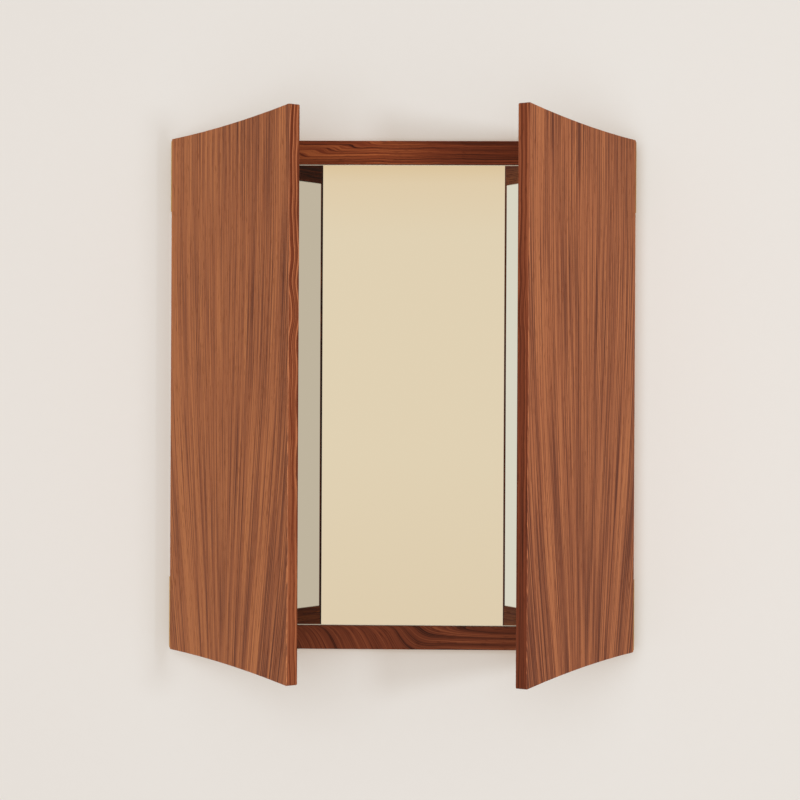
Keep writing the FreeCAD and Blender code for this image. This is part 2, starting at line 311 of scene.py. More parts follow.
def new_material(name):
    """A fresh material with its tree and its Principled shader."""
    material = bpy.data.materials.new(name)
    material.use_nodes = True
    tree = material.node_tree
    return material, tree, tree.nodes["Principled BSDF"]


def link(tree, value, shader, socket):
    tree.links.new(value, shader.inputs[socket])


def set_plain(shader, values):
    """Sets what is the same all over a surface on the shader's own sockets."""
    for name, value in values.items():
        shader.inputs[name].default_value = value


def bump(tree, shader, height, distance, strength):
    """Raises the surface by a height from 0 to 1."""
    node = put(tree, "ShaderNodeBump", {"Height": height, "Distance": distance, "Strength": strength})
    link(tree, node.outputs["Normal"], shader, "Normal")


def dress(material, names):
    """Puts one material on CAD nodes."""
    for name in names:
        mesh = NODES[name].data
        mesh.materials.clear()
        mesh.materials.append(material)


# Shared surface effects

# Rates of the wood figure: across the rings, then from board to board, then along the grain
BAND_RATES = (1.0, 1.0, 1.2)
STREAK_RATES = (1.7, 1.0, 1.4)
LINE_DRIFT_RATES = (0.35, 1.0, 1.0)
LINE_FADING_RATES = (0.5, 0.6, 8.0)

# Lines: the share of each ring that they fill, how far they stray, where they end, and how they come and go
LINE_SHARE = 0.35
LINE_DRIFT = 2.0
LINE_END = 0.97
LINE_FADING = (0.35, 0.65)

# Hair grain and pores: rates across, through and along the grain, and from where to where a pore deepens
HAIR_RATE = 640.0
HAIR_RATE_ALONG = 4.5
PORE_RATES = (600.0, 600.0, 70.0)
PORE_LIMITS = (0.60, 0.72)

BRUSHING_RATES = (5000.0, 5000.0, 120.0)
DULLING_RATE = 90.0


def walnut_figure(name):
    """Bands, streaks, dark lines, hair grain and pores of wood, from ring distance and grain space."""
    inputs = (
        ("Ring", FLOAT, 0.0),
        ("Grain", VECTOR, None),
        ("Band Rate", FLOAT, 60.0),
        ("Line Rate", FLOAT, 150.0),
        ("Line Share", FLOAT, LINE_SHARE),
        ("Hair Rate", FLOAT, HAIR_RATE),
        ("Seed", FLOAT, 0.0),
    )
    tree, given, result = new_group(name, inputs, ("Bands", "Streaks", "Lines", "Hair", "Pores"))
    parts = split(tree, given["Grain"])
    ring_pace = calc(tree, "MULTIPLY", given["Ring"], given["Band Rate"])
    broad = combine(tree, ring_pace, given["Seed"], parts["Z"])
    bands = noise(tree, stretch(tree, broad, BAND_RATES), detail=2.0)
    line_pace = calc(tree, "MULTIPLY", parts["X"], given["Line Rate"])
    narrow = combine(tree, line_pace, given["Seed"], parts["Z"])
    streaks = noise(tree, stretch(tree, narrow, STREAK_RATES), detail=3.0, roughness=0.65)
    drift = noise(tree, stretch(tree, narrow, LINE_DRIFT_RATES), detail=1.0)
    growth = calc(tree, "FRACT", calc(tree, "MULTIPLY_ADD", drift, LINE_DRIFT, line_pace))
    early_wood = calc(tree, "SUBTRACT", 1.0, given["Line Share"])
    late_wood = remap(tree, growth, early_wood, LINE_END, smooth=True)
    fading = noise(tree, stretch(tree, narrow, LINE_FADING_RATES), detail=2.0)
    lines = calc(tree, "MULTIPLY", late_wood, remap(tree, fading, *LINE_FADING))
    hair_rates = combine(tree, given["Hair Rate"], given["Hair Rate"], HAIR_RATE_ALONG)
    hair = noise(tree, stretch(tree, given["Grain"], hair_rates), detail=2.0, roughness=0.6)
    dashes = noise(tree, stretch(tree, given["Grain"], PORE_RATES), detail=1.0)
    pores = remap(tree, dashes, *PORE_LIMITS)
    made = {"Bands": bands, "Streaks": streaks, "Lines": lines, "Hair": hair, "Pores": pores}
    for label, value in made.items():
        tree.links.new(value, result[label])
    return tree


def brushed_metal(name):
    """Fine brushing along Z and dull spots, for hinges and fittings."""
    tree, given, result = new_group(name, (("Place", VECTOR, None),), ("Brushing", "Dulling"))
    brushing = noise(tree, stretch(tree, given["Place"], BRUSHING_RATES), detail=2.0, roughness=0.7)
    dulling = noise(tree, given["Place"], detail=4.0, roughness=0.6, scale=DULLING_RATE)
    tree.links.new(brushing, result["Brushing"])
    tree.links.new(dulling, result["Dulling"])
    return tree


def fine_speckle(name):
    """Fine even speckle, for paint, foam and ground glass."""
    inputs = (("Place", VECTOR, None), ("Rate", FLOAT, 800.0))
    tree, given, result = new_group(name, inputs, ("Speckle",))
    speckle = noise(tree, given["Place"], detail=3.0, roughness=0.6, scale=given["Rate"])
    tree.links.new(speckle, result["Speckle"])
    return tree


def speckle_between(tree, shader, rate, spread, first, second):
    """Speckles a surface from one colour to another, and gives the speckle for its other sockets. Spread
    is the part of the speckle's range that is used."""
    speckle = place_group(tree, fine_speckle, {"Place": object_place(tree), "Rate": rate})["Speckle"]
    link(tree, mix_colour(tree, remap(tree, speckle, *spread), first, second), shader, "Base Color")
    return speckle


def figured(tree, ring, grain, seed, pace, line_share=LINE_SHARE, hair_rate=HAIR_RATE):
    """The wood figure with its own pace, as how often bands and lines come in a metre."""
    band_rate, line_rate = pace
    inputs = {
        "Ring": ring, "Grain": grain, "Band Rate": band_rate, "Line Rate": line_rate,
        "Line Share": line_share, "Hair Rate": hair_rate, "Seed": seed,
    }
    return place_group(tree, walnut_figure, inputs)


# Places on the doors

def shut_turn(body):
    """How far a door stands open at rest."""
    return math.radians(-JOINTS[body]["range_deg"][0])


def flip(body):
    """The right door is read as a left one."""
    return 1.0 if body == "left_door" else -1.0


def shut_offset(body):
    """What moves a turned left door back to its shut place, measured from its hinge edge."""
    pin = Vector(JOINTS[body]["pos_m"])
    pin.x = -abs(pin.x)
    return pin - Matrix.Rotation(shut_turn(body), 3, "Z") @ pin + Vector((HALF_WIDTH, 0, 0))


def shut_box(node, body):
    """Lowest and highest corner of a door's node with its door shut and read as a left one."""
    turn = Matrix.Rotation(shut_turn(body), 3, "Z")
    mirror = Matrix.Diagonal((flip(body), 1, 1))
    offset = shut_offset(body)
    points = [turn @ (mirror @ vertex.co) + offset for vertex in NODES[node].data.vertices]
    low = Vector(min(point[axis] for point in points) for axis in range(3))
    high = Vector(max(point[axis] for point in points) for axis in range(3))
    return low, high


def door_place(tree, body):
    """Place on a shut door: X from the hinge edge to the free edge, Y through it, Z up."""
    inputs = {
        "Vector": object_place(tree),
        "Location": shut_offset(body),
        "Rotation": (0, 0, shut_turn(body)),
        "Scale": (flip(body), 1, 1),
    }
    return put(tree, "ShaderNodeMapping", inputs).outputs["Vector"]


def door_axes(body, axes):
    """What gives the place on a shut door with its axes in the order that is named."""
    def place_of(tree):
        return in_order(tree, split(tree, door_place(tree, body)), axes)

    return place_of


# Oiled walnut

PORE_DULLING = 0.2
HAIR_DULLING = 0.12
WOOD_RELIEF = 0.0001
WOOD_BUMP = 0.35


def finish_wood(tree, shader, figure, walnut):
    """The sheen of oiled wood: pores are duller and slightly sunk."""
    rough = calc(tree, "MULTIPLY_ADD", figure["Pores"], PORE_DULLING, walnut.roughness)
    link(tree, weighted(tree, rough, (figure["Hair"], HAIR_DULLING)), shader, "Roughness")
    set_plain(shader, {"Specular IOR Level": walnut.gloss})
    bump(tree, shader, calc(tree, "SUBTRACT", figure["Hair"], figure["Pores"]), WOOD_RELIEF, WOOD_BUMP)


def wave(tree, grain, rates, reach, detail=2.0):
    """A soft shift of the rings, by up to half of its reach each way."""
    drift = noise(tree, stretch(tree, grain, rates), detail)
    return calc(tree, "MULTIPLY", calc(tree, "SUBTRACT", drift, 0.5), reach)


# Face veneers

# Stripes across half of the veneer's fan: millimetres from its middle, and a tone from 0, dark, to 1, light
FAN_TONES = (
    (0, 0.38), (16, 0.58), (30, 0.30), (37, 0.66), (46, 0.34), (54, 0.64), (63, 0.42), (73, 0.28),
    (86, 0.72), (95, 0.44), (104, 0.26), (113, 0.52), (132, 0.82), (141, 0.48), (149, 0.30), (160, 0.42),
    (169, 0.50), (181, 0.36), (200, 0.48), (220, 0.58), (236, 0.36), (250, 0.50),
)
FAN_REACH = 0.250

# Below its top the fan draws in, by its shift over its length, alike beyond its hold, and closes in peaks
FAN_TOP = 0.250
FAN_LENGTH = 0.580
FAN_SHIFT = 0.060
FAN_HOLD = 0.050
FAN_POWER = 1.9
PEAK_TOP = 0.060
PEAK_SLOPE = 0.09

# Two heights between which the stripes gain strength, and their strength at each
STRIPE_STRENGTH = (0.05, -0.25, 0.60, 1.15)
STRIPE_STREAKS = 0.5
STRIPE_LINES = 0.28
VENEER_BANDS = 0.15
VENEER_STREAKS = 0.12
VENEER_PORES = 0.4
VENEER_STOPS = (0.1, 0.5, 0.9)
VENEER_PACE = (55.0, 190.0)
VENEER_WAVE = ((5.0, 5.0, 1.6), 0.008)
VENEER_SEED_PACE = 3.0
VENEER_LOW_SHADE = (0.0, -0.2)
EDGE_PAINT_DEPTH = 0.0003

# The sheet on each door: shade_lifts are painted shade, its lift at the hinge edge and at the free edge,
# low_shade is painted shade that darkens its lower part, hair is rate and weight, and cut is the tone and
# the share of it painted at the free edge: a painted highlight on the left door, painted shade on the right
VENEERS = {
    "left_door": {
        "seed": 0.0, "shade_lifts": (0.20, -0.01), "low_shade": 0.0, "hair": (640.0, 3.1),
        "tint": (1.0, 1.0, 0.99), "cut": ("veneer_cut", 0.5),
    },
    "right_door": {
        "seed": 0.35, "shade_lifts": (0.05, 0.07), "low_shade": 0.07, "hair": (560.0, 3.5),
        "tint": (1.03, 1.02, 1.10), "cut": ("veneer_dark", 0.7),
    },
}


def fan_places(tree, place, walnut):
    """Signed distance across the veneer's fan, which draws in downwards and leans alike near the door's
    edges, and ring distance, which closes in peaks at its middle."""
    across = calc(tree, "SUBTRACT", place["X"], walnut.fan_centre)
    drop = calc(tree, "DIVIDE", calc(tree, "SUBTRACT", FAN_TOP, place["Z"]), FAN_LENGTH)
    drop = calc(tree, "POWER", calc(tree, "MAXIMUM", drop, 0.0), FAN_POWER)
    lean = calc(tree, "TANH", calc(tree, "DIVIDE", across, FAN_HOLD))
    drawn_in = calc(tree, "MULTIPLY", calc(tree, "MULTIPLY", drop, FAN_SHIFT), lean)
    spread = calc(tree, "ADD", across, drawn_in)
    peak = calc(tree, "MULTIPLY", calc(tree, "SUBTRACT", PEAK_TOP, place["Z"]), PEAK_SLOPE)
    peak = calc(tree, "MAXIMUM", peak, 0.0)
    squares = calc(tree, "ADD", calc(tree, "MULTIPLY", spread, spread), calc(tree, "MULTIPLY", peak, peak))
    return spread, calc(tree, "SQRT", squares)


def veneer_tone(tree, place, ring, figure, sheet, width):
    """How light a veneer is, from 0 to 1: its ground with painted shade, the fan's stripes and the fine
    figure.
    """
    # Painted shade: the ground is set lighter or darker at the hinge and free edges, and darker on the lower
    # part
    hinge_level, free_level = (0.5 + lift for lift in sheet["shade_lifts"])
    ground = remap(tree, place["X"], 0.0, width, hinge_level, free_level)
    low_shade = remap(tree, place["Z"], *VENEER_LOW_SHADE, 0.0, sheet["low_shade"], smooth=True)
    ground = calc(tree, "SUBTRACT", ground, low_shade)
    stops = [(millimetres * MILLIMETRE / FAN_REACH, grey(tone)) for millimetres, tone in FAN_TONES]
    fan = ramp(tree, calc(tree, "DIVIDE", ring, FAN_REACH), stops)
    stripes = calc(tree, "SUBTRACT", fan, 0.5)
    stripes = weighted(tree, stripes, (figure["Streaks"], STRIPE_STREAKS))
    stripes = calc(tree, "MULTIPLY_ADD", figure["Lines"], -STRIPE_LINES, stripes)
    strength = remap(tree, place["Z"], *STRIPE_STRENGTH, smooth=True)
    tone = calc(tree, "MULTIPLY_ADD", stripes, strength, ground)
    tone = weighted(tree, tone, (figure["Bands"], VENEER_BANDS), (figure["Streaks"], VENEER_STREAKS))
    _, hair_weight = sheet["hair"]
    return weighted(tree, tone, (figure["Hair"], hair_weight))


def veneer_material(body):
    """Oiled walnut veneer, cut so that its grain fans out from the bottom of the door."""
    walnut = settings().walnut
    sheet = VENEERS[body]
    width = shut_box(body + "_face_veneer", body)[1].x
    material, tree, shader = new_material(body + "_walnut_veneer")
    vector = door_place(tree, body)
    place = split(tree, vector)
    spread, ring = fan_places(tree, place, walnut)
    shift = wave(tree, vector, *VENEER_WAVE)
    ring = calc(tree, "ADD", ring, shift)
    grain = combine(tree, calc(tree, "ADD", spread, shift), place["Y"], place["Z"])
    seed = calc(tree, "MULTIPLY_ADD", place["X"], VENEER_SEED_PACE, sheet["seed"])
    hair_rate, _ = sheet["hair"]
    figure = figured(tree, ring, grain, seed, VENEER_PACE, hair_rate=hair_rate)
    tone = veneer_tone(tree, place, ring, figure, sheet, width)
    tones = (walnut.veneer_dark, walnut.veneer_middle, walnut.veneer_light)
    colour = ramp(tree, tone, tuple(zip(VENEER_STOPS, tones)))
    pores = calc(tree, "MULTIPLY", figure["Pores"], VENEER_PORES)
    colour = mix_colour(tree, pores, colour, walnut.veneer_dark)
    # Painted highlight on the arris of the left door's free edge, painted shade over it on the right door
    edge_paint_tone, edge_paint_share = sheet["cut"]
    at_edge_paint = remap(tree, place["X"], width - EDGE_PAINT_DEPTH, width, 0.0, edge_paint_share)
    colour = mix_colour(tree, at_edge_paint, colour, getattr(walnut, edge_paint_tone))
    link(tree, stretch(tree, colour, sheet["tint"]), shader, "Base Color")
    finish_wood(tree, shader, figure, walnut)
    return material


class WALLMIRROR_OT_face_veneers(bpy.types.Operator):
    """Gives the outer faces of both doors their fanned walnut veneer"""
    bl_idname = "wall_mirror.face_veneers"
    bl_label = "Face Veneers"

    def execute(self, context):
        for body in DOORS:
            dress(veneer_material(body), [body + "_face_veneer"])
        return {"FINISHED"}


# Solid walnut

SOLID_HAIR = 1.1
SOLID_PORES = 0.45
SOLID_STOPS = (0.1, 0.5, 0.95)

# Lines of the top rail step down: where, how that leans, over what length and how far, with waves on them
STEP_PLACE = -0.028
STEP_LEAN = 5.5
STEP_LENGTH = 0.050
STEP_DROP = 0.0065
STEP_WAVES = (((12, 12, 20), 0.004), ((90, 90, 60), 0.0022))

# The bottom rail has arches to the left and a loop round a heart to the right
ARCH_SPREAD = 0.125
ARCH_POWER = 0.4
ARCH_PACE = 0.35
ARCH_WAVE = ((12, 12, 9), 0.004)
LOOP_PLACE = 0.15
LOOP_DEPTH = 0.001
LOOP_PACE = 0.093
LOOP_RISE = 0.85
LOOP_START = (-0.02, 0.06)

# Rings of the calm pieces, and waves of the lippings, which swing less below the lower of two heights
CALM_WAVE = ((10, 10, 6), 0.02)
CALM_LEAN = 0.5
EDGE_WAVE_RATES = (14.0, 14.0, 21.0)
EDGE_WAVE_DETAIL = 0.4
EDGE_SWINGS = {"left_door": 0.018, "right_door": 0.008}
EDGE_SWING_HEIGHTS = (-0.15, 0.10)
EDGE_LOW_SWING = 0.4

# Boards of the pieces, in the words of solid_material
# Painted shadow: the fade along X darkens the top rail's right part, where the right door's shadow falls
TOP_RAIL = {
    "seed": 1.0, "pace": (90.0, 230.0), "lift": 0.10, "streaks": 0.35, "lines": 0.6, "line_share": 0.3,
    "fades": (("X", -0.02, 0.10, 0.26),), "tint": (1.04, 0.90, 0.76),
}
BOTTOM_RAIL = {
    "seed": 2.0, "pace": (80.0, 160.0), "lift": -0.05, "bands": 0.4, "streaks": 0.1, "lines": 0.34,
    "line_share": 0.6, "lean": 0.0, "hair_rate": 2000.0, "tint": (0.96, 1.0, 1.1),
    "fades": (("X", 0.02, 0.08, -0.10), ("ring", 0.0113, 0.0133, 0.20)),
}
STILE = {"pace": (90.0, 150.0)}
CURVED_BAND = {"pace": (110.0, 180.0)}
LIPPING = {"pace": (260.0, 160.0), "line_share": 0.38, "tint": (1.04, 1.08, 1.22)}
LIPPING_LOOKS = {
    "left_door": {
        "lift": 0.035, "bands": 0.6, "streaks": 0.7, "lines": -1.1, "settle": ("Z", 0.05, -0.24, 0.22),
    },
    "right_door": {"lift": 0.06, "bands": 0.5, "streaks": 0.55, "lines": 0.2},
}
LIPPING_FADES = {"left_door": ("Z", 0.20, -0.25, -0.05), "right_door": ("Z", 0.33, -0.30, 0.20)}

# Seeds of the left pieces: the right ones add one
STILE_SEED = 3.0
LIPPING_SEED = 5.0
HINGE_STILE_SEED = 7.0
CURVED_BAND_SEED = 9.0
INNER_RAIL_SEED = 13.0

# Painted shade inside the doors, much darker on the left door than on the right: lifts of the top and
# bottom inner rail, their tint, and the drop on the inner side of the left lipping
INNER_SHADE_TINTS = {"left_door": (0.8, 0.7, 0.5), "right_door": (1.0, 0.95, 0.93)}
INNER_SHADE_LIFTS = {"left_door": (-0.31, 0.04), "right_door": (0.23, 0.21)}
INNER_SHADE_DROPS = {"left_door": 1.2, "right_door": 0.0}
INNER_SHADE_DEPTH = 0.0006


def stepped_ring(tree, place):
    """Rings of the top rail: level lines that each sink by a step, further right the higher they lie."""
    height = calc(tree, "SUBTRACT", place["Z"], HALF_HEIGHT)
    step_place = calc(tree, "MULTIPLY_ADD", height, STEP_LEAN, STEP_PLACE)
    past_step = calc(tree, "SUBTRACT", place["X"], step_place)
    sunk = remap(tree, past_step, -STEP_LENGTH / 2, STEP_LENGTH / 2, 0.0, STEP_DROP, smooth=True)
    ring = calc(tree, "ADD", height, sunk)
    along = in_order(tree, place, "ZYX")
    for rates, reach in STEP_WAVES:
        ring = calc(tree, "ADD", ring, wave(tree, along, rates, reach))
    return ring


def arched_ring(tree, place):
    """Rings of the bottom rail: arches that turn down to the right, then a loop round a heart."""
    depth = calc(tree, "SUBTRACT", -OPENING_HALF_HEIGHT, place["Z"])
    arch = calc(tree, "POWER", calc(tree, "MAXIMUM", depth, 0.0), ARCH_POWER)
    arch = calc(tree, "MULTIPLY", arch, ARCH_SPREAD)
    arches = calc(tree, "MULTIPLY", calc(tree, "SUBTRACT", place["X"], arch), ARCH_PACE)
    aside = calc(tree, "MULTIPLY", calc(tree, "SUBTRACT", place["X"], LOOP_PLACE), LOOP_PACE)
    below = calc(tree, "MULTIPLY", calc(tree, "SUBTRACT", depth, LOOP_DEPTH), LOOP_RISE)
    loop = put(tree, "ShaderNodeVectorMath", {0: combine(tree, aside, below, 0.0)}, operation="LENGTH")
    middle = sum(LOOP_START) / 2
    ring_there = middle * ARCH_PACE + (LOOP_PLACE - middle) * LOOP_PACE
    loops = calc(tree, "SUBTRACT", ring_there, loop.outputs["Value"])
    turn = remap(tree, place["X"], *LOOP_START, smooth=True)
    ring = mix_value(tree, turn, arches, loops)
    return calc(tree, "ADD", ring, wave(tree, in_order(tree, place, "ZYX"), *ARCH_WAVE))


def calm_ring(tree, place):
    """Rings across the first axis of a piece, with soft waves along it."""
    shift = wave(tree, in_order(tree, place, "XYZ"), *CALM_WAVE)
    return calc(tree, "ADD", calc(tree, "MULTIPLY_ADD", place["Y"], CALM_LEAN, place["X"]), shift)


def edge_ring(swing):
    """Rings of a lipping: waves that swing wide above the middle and less lower down."""
    def ring_of(tree, place):
        reach = remap(tree, place["Z"], *EDGE_SWING_HEIGHTS, swing * EDGE_LOW_SWING, swing, smooth=True)
        shift = wave(tree, in_order(tree, place, "XYZ"), EDGE_WAVE_RATES, reach, EDGE_WAVE_DETAIL)
        return calc(tree, "ADD", place["X"], shift)

    return ring_of


def solid_material(
    name, vector_of, axes, ring_of, seed, pace, lift=0.175, bands=0.35, streaks=0.8, lines=0.35,
    line_share=LINE_SHARE, lean=0.3, hair_rate=HAIR_RATE, fades=(), settle=None, tint=(1.0, 1.0, 1.0),
):
    """Oiled solid walnut. Axes say which of X, Y and Z run across, through and along the grain, and ring_of
    gives the ring distance. Seed picks the board, and pace is how often bands and lines come. Lift makes it
    all lighter. Bands, streaks and lines weigh the figure, line_share is how wide its lines are, lean slants
    them to the rings, and hair_rate is how fine the hair grain is. Each fade is an axis or the ring, where
    along it the wood starts and ends to darken, and by how much. Settle is an axis, where along it the
    figure starts and ends to grow faint, and the share that is left. Tint multiplies the colour."""
    walnut = settings().walnut
    material, tree, shader = new_material(name)
    place = split(tree, vector_of(tree))
    across, through, along = (place[axis] for axis in axes)
    ring = ring_of(tree, place)
    grain = combine(tree, calc(tree, "MULTIPLY_ADD", across, lean, ring), through, along)
    figure = figured(tree, ring, grain, seed, pace, line_share, hair_rate)
    ground = 0.5 + lift
    for axis, start, end, drop in fades:
        along_fade = ring if axis == "ring" else place[axis]
        fade = remap(tree, along_fade, start, end, 0.0, drop, smooth=True)
        ground = calc(tree, "SUBTRACT", ground, fade)
    drawn = weighted(tree, 0.0, (figure["Bands"], bands), (figure["Streaks"], streaks))
    drawn = calc(tree, "MULTIPLY_ADD", figure["Lines"], -lines, drawn)
    if settle:
        axis, start, end, share = settle
        drawn = calc(tree, "MULTIPLY", drawn, remap(tree, place[axis], start, end, 1.0, share, smooth=True))
    tone = weighted(tree, calc(tree, "ADD", ground, drawn), (figure["Hair"], SOLID_HAIR))
    tones = (walnut.solid_dark, walnut.solid_middle, walnut.solid_light)
    colour = ramp(tree, tone, tuple(zip(SOLID_STOPS, tones)))
    pores = calc(tree, "MULTIPLY", figure["Pores"], SOLID_PORES)
    colour = mix_colour(tree, pores, colour, walnut.solid_dark)
    link(tree, stretch(tree, colour, tint), shader, "Base Color")
    finish_wood(tree, shader, figure, walnut)
    return material


class WALLMIRROR_OT_solid_walnut(bpy.types.Operator):
    """Gives the rails, stiles, lippings, bands and inner rails their solid walnut"""
    bl_idname = "wall_mirror.solid_walnut"
    bl_label = "Solid Walnut"

    def execute(self, context):
        top = solid_material("top_rail_walnut", object_place, "ZYX", stepped_ring, **TOP_RAIL)
        dress(top, ["top_rail"])
        bottom = solid_material("bottom_rail_walnut", object_place, "ZYX", arched_ring, **BOTTOM_RAIL)
        dress(bottom, ["bottom_rail"])
        for board, side in enumerate(("left", "right")):
            seed = STILE_SEED + board
            stile = solid_material(side + "_stile_walnut", object_place, "XYZ", calm_ring, seed, **STILE)
            dress(stile, [side + "_stile"])
        for board, body in enumerate(DOORS):
            self.dress_lipping(body, LIPPING_SEED + board)
            self.dress_hinge_stile(body, HINGE_STILE_SEED + board)
            self.dress_bands(body, CURVED_BAND_SEED + board)
            self.dress_inner_rails(body, INNER_RAIL_SEED + board)
        return {"FINISHED"}

    def dress_lipping(self, body, seed):
        lipping = body + "_free_lipping"
        inner_face = shut_box(lipping, body)[1].y
        # Painted shade: the inner side of the left lipping is darkened
        inner_shade = ("X", inner_face - INNER_SHADE_DEPTH, inner_face, INNER_SHADE_DROPS[body])
        edge = solid_material(
            body + "_edge_walnut", door_axes(body, "YXZ"), "XYZ", edge_ring(EDGE_SWINGS[body]), seed,
            fades=(LIPPING_FADES[body], inner_shade), **LIPPING, **LIPPING_LOOKS[body],
        )
        dress(edge, [lipping])

    def dress_hinge_stile(self, body, seed):
        upright = door_axes(body, "XYZ")
        side = solid_material(body + "_hinge_side_walnut", upright, "XYZ", calm_ring, seed, **STILE)
        dress(side, [body + "_hinge_stile"])

    def dress_bands(self, body, seed):
        along = door_axes(body, "YZX")
        ends = solid_material(body + "_end_walnut", along, "XYZ", calm_ring, seed, **CURVED_BAND)
        dress(ends, [body + "_top_band", body + "_bottom_band"])

    def dress_inner_rails(self, body, seed):
        along = door_axes(body, "YZX")
        # Painted shade: the inner rails are much darker on the left door than on the right
        for end, lift in zip(("top", "bottom"), INNER_SHADE_LIFTS[body]):
            node = f"{body}_inner_{end}_rail"
            inner = solid_material(
                node + "_walnut", along, "XYZ", calm_ring, seed, lift=lift, tint=INNER_SHADE_TINTS[body],
                **CURVED_BAND,
            )
            dress(inner, [node])


# Mirror plates

FACE_NORMAL_LIMIT = 0.99
GLASS_INDEX = 1.52
GROUND_RATE = 1800.0
GROUND_SPREAD = (0.35, 0.75, 0.0, 0.35)
GROUND_ROUGHNESS = (0.3, 0.7, 0.35, 0.6)
PAINT_RATE = 500.0
PAINT_SPREAD = (0.3, 0.7)
PAINT_SHADE = 0.7
PAINT_ROUGHNESS = (0.3, 0.7, 0.45, 0.65)
PAINT_RELIEF = 0.0001
PAINT_BUMP = 0.3


def silver_material():
    """The silvered face of a plate: it shows what stands before it."""
    material, _, shader = new_material("silvered_glass")
    set_plain(shader, {"Base Color": settings().glass.silver, "Metallic": 1.0, "Roughness": 0.0})
    return material


def ground_edge_material():
    """The frosted bevel and rim of a plate, which gives off painted light for what the glass carries to it.
    """
    glass = settings().glass
    material, tree, shader = new_material("ground_glass_edge")
    speckle = speckle_between(tree, shader, GROUND_RATE, GROUND_SPREAD, glass.ground_edge, WHITE)
    link(tree, remap(tree, speckle, *GROUND_ROUGHNESS), shader, "Roughness")
    glow = {"Emission Color": glass.ground_edge, "Emission Strength": glass.edge_glow}
    set_plain(shader, {"IOR": GLASS_INDEX, **glow})
    return material


def backing_material():
    """The paint that seals the silver from behind."""
    paint = settings().glass.backing
    material, tree, shader = new_material("mirror_backing_paint")
    shade = darker(paint, PAINT_SHADE)
    speckle = speckle_between(tree, shader, PAINT_RATE, PAINT_SPREAD, shade, paint)
    link(tree, remap(tree, speckle, *PAINT_ROUGHNESS), shader, "Roughness")
    bump(tree, shader, speckle, PAINT_RELIEF, PAINT_BUMP)
    return material


def select_only(piece):
    bpy.ops.object.select_all(action="DESELECT")
    piece.select_set(True)
    bpy.context.view_layer.objects.active = piece


def add_block(name, low, high):
    """A block between two corners, with its place in its mesh."""
    bpy.ops.object.select_all(action="DESELECT")
    bpy.ops.mesh.primitive_cube_add(size=1, location=(low + high) / 2)
    piece = bpy.context.object
    piece.name = name
    piece.data.name = name
    piece.scale = high - low
    bpy.ops.object.transform_apply(location=True, rotation=True, scale=True)
    return piece


def mark_faces(mesh, test):
    """Selects the faces of a mesh in edit mode that pass a test, and nothing else."""
    bpy.ops.mesh.select_all(action="DESELECT")
    shape = bmesh.from_edit_mesh(mesh)
    for face in shape.faces:
        face.select_set(test(face))
    shape.select_flush_mode()
    bmesh.update_edit_mesh(mesh)


def mirror_plate(name, low, high, shown, bevel, materials):
    """A plate with a ground bevel round its silvered face. Shown is the Y direction of that face."""
    plate = add_block(name, low, high)
    for material in materials:
        plate.data.materials.append(material)
    bpy.ops.object.mode_set(mode="EDIT")
    bpy.ops.mesh.select_mode(type="FACE")
    mark_faces(plate.data, lambda face: face.normal.y * shown > FACE_NORMAL_LIMIT)
    bpy.ops.mesh.region_to_loop()
    bpy.ops.mesh.bevel(offset=bevel, offset_type="OFFSET", segments=1, affect="EDGES")
    bpy.ops.mesh.select_mode(type="FACE")
    faces = (
        lambda face: face.normal.y * shown > FACE_NORMAL_LIMIT,
        lambda face: abs(face.normal.y) <= FACE_NORMAL_LIMIT,
        lambda face: face.normal.y * shown < -FACE_NORMAL_LIMIT,
    )
    for index, test in enumerate(faces):
        mark_faces(plate.data, test)
        plate.active_material_index = index
        bpy.ops.object.material_slot_assign()
    bpy.ops.object.mode_set(mode="OBJECT")
    return plate


def open_plate(plate, body):
    """Turns a plate made in the shut place of a left door to where its own door stands."""
    back = Matrix.Rotation(-shut_turn(body), 4, "Z") @ Matrix.Translation(-shut_offset(body))
    plate.matrix_world = Matrix.Diagonal((flip(body), 1, 1, 1)) @ back
    select_only(plate)
    bpy.ops.object.transform_apply(location=True, rotation=True, scale=True)
    bpy.ops.object.mode_set(mode="EDIT")
    bpy.ops.mesh.select_all(action="SELECT")
    bpy.ops.mesh.normals_make_consistent(inside=False)
    bpy.ops.object.mode_set(mode="OBJECT")


class WALLMIRROR_OT_mirror_plates(bpy.types.Operator):
    """Models the three mirror plates with silvered faces, ground bevels and painted backs"""
    bl_idname = "wall_mirror.mirror_plates"
    bl_label = "Mirror Plates"

    def execute(self, context):
        bevel = settings().glass.bevel
        materials = (silver_material(), ground_edge_material(), backing_material())
        low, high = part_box("centre_mirror")
        plate = mirror_plate("centre_mirror_plate", low, high, -1, bevel, materials)
        self.hand_over(plate, FRAME_BODY, "centre_mirror")
        for body in DOORS:
            node = body + "_mirror"
            low, high = shut_box(node, body)
            plate = mirror_plate(node + "_plate", low, high, 1, bevel, materials)
            open_plate(plate, body)
            self.hand_over(plate, body, node)
        return {"FINISHED"}

    def hand_over(self, plate, body, node):
        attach(plate, body)
        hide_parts(node)


# Metal and tape

METAL_DULL_SHADE = 0.72
METAL_DULL_SPREAD = (0.4, 0.75)
METAL_BRUSHING = 0.18
METAL_DULLING = 0.2
METAL_RELIEF = 0.00003
METAL_BUMP = 0.25
BRASS_ROUGHNESS = 0.34
ZINC_ROUGHNESS = 0.4
NICKEL_ROUGHNESS = 0.22
TAPE_RATE = 1200.0
TAPE_SPREAD = (0.35, 0.65)
TAPE_SHADE = 0.82
TAPE_ROUGHNESS = 0.85
TAPE_RELIEF = 0.0002
TAPE_BUMP = 0.5


